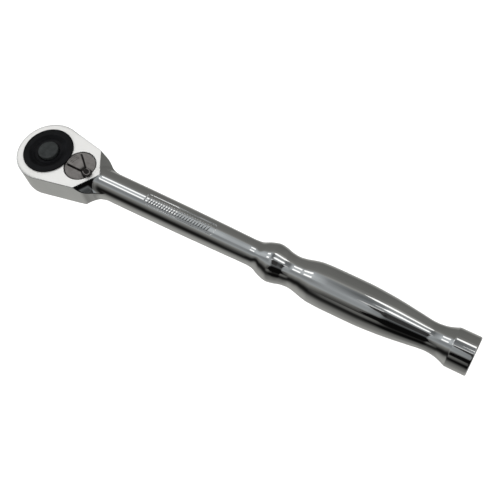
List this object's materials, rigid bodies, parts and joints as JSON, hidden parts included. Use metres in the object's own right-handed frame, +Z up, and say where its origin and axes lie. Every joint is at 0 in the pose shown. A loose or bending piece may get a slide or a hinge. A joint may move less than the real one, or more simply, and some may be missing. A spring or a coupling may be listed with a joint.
{
  "type": "ratchet wrench",
  "caption": "Reversible ratchet wrench with a teardrop head, square drive, push-button socket release, reversing lever and a round waisted steel handle.",
  "frame": {"origin": "centre of the flat tip of the drive square, which is on the drive's axis of rotation", "axes": "+X along the handle to its flat end, +Z up through the head out of the face with the thumb disc, so the drive square points along -Z; +Y completes a right-handed frame"},
  "size_m": [0.1999, 0.0278, 0.0253],
  "materials": {
    "chrome": "polished chrome plate, satin on the head's face",
    "gear_steel": "satin nickel-chrome plate",
    "black_plastic": "moulded, slight sheen",
    "button_plastic": "moulded, matte",
    "cast_steel": "matte cast grey",
    "dark_steel": "phosphated, oiled",
    "spring_steel": "bright drawn steel",
    "seal_rubber": "matte"
  },
  "bodies": {
    "handle": {"handle_forging": "chrome", "cover_washer": "dark_steel", "retaining_ring": "dark_steel", "friction_washer": "spring_steel", "lever_washer": "spring_steel"},
    "drive": {"drive_gear": "gear_steel", "thumb_disc": "black_plastic", "hub_seal": "seal_rubber", "collar_seal": "seal_rubber", "button_retaining_ring": "spring_steel", "release_spring": "spring_steel"},
    "button": {"release_button": "button_plastic", "release_stem": "dark_steel"},
    "ball": {"detent_ball": "spring_steel"},
    "lever": {"reversing_lever": "cast_steel", "spindle_clip": "dark_steel", "spindle_seal": "seal_rubber", "plunger_spring": "spring_steel"},
    "plunger": {"detent_plunger": "dark_steel"},
    "pawl": {"pawl": "dark_steel"}
  },
  "joints": [
    {"name": "drive_spin", "type": "hinge", "parent": "handle", "child": "drive", "pos_m": [0, 0, 0.0165], "axis": [0, 0, 1], "continuous": true},
    {"name": "button_press", "type": "slide", "parent": "drive", "child": "button", "axis": [0, 0, -1], "range_m": [0, 0.002], "stiffness_N_per_m": 500, "springref_m": -0.002, "deforming": ["release_spring"]},
    {"name": "ball_retract", "type": "slide", "parent": "drive", "child": "ball", "axis": [0, 1, 0], "range_m": [0, 0.0006]},
    {"name": "lever_swing", "type": "hinge", "parent": "handle", "child": "lever", "pos_m": [0.0166, 0, 0.0229], "axis": [0, 0, 1], "range_deg": [0, 40]},
    {"name": "pawl_rock", "type": "hinge", "parent": "handle", "child": "pawl", "pos_m": [0.0166, 0, 0.01625], "axis": [0, 0, 1], "range_deg": [0, 11]},
    {"name": "plunger_slide", "type": "slide", "parent": "lever", "child": "plunger", "axis": [0.9397, -0.342, 0], "range_m": [0, 0.0003], "stiffness_N_per_m": 400}
  ],
  "couplings": [
    {"joint": "ball_retract", "follows": "button_press", "ratio": 0.3},
    {"joint": "pawl_rock", "follows": "lever_swing", "ratio": 0.275}
  ]
}
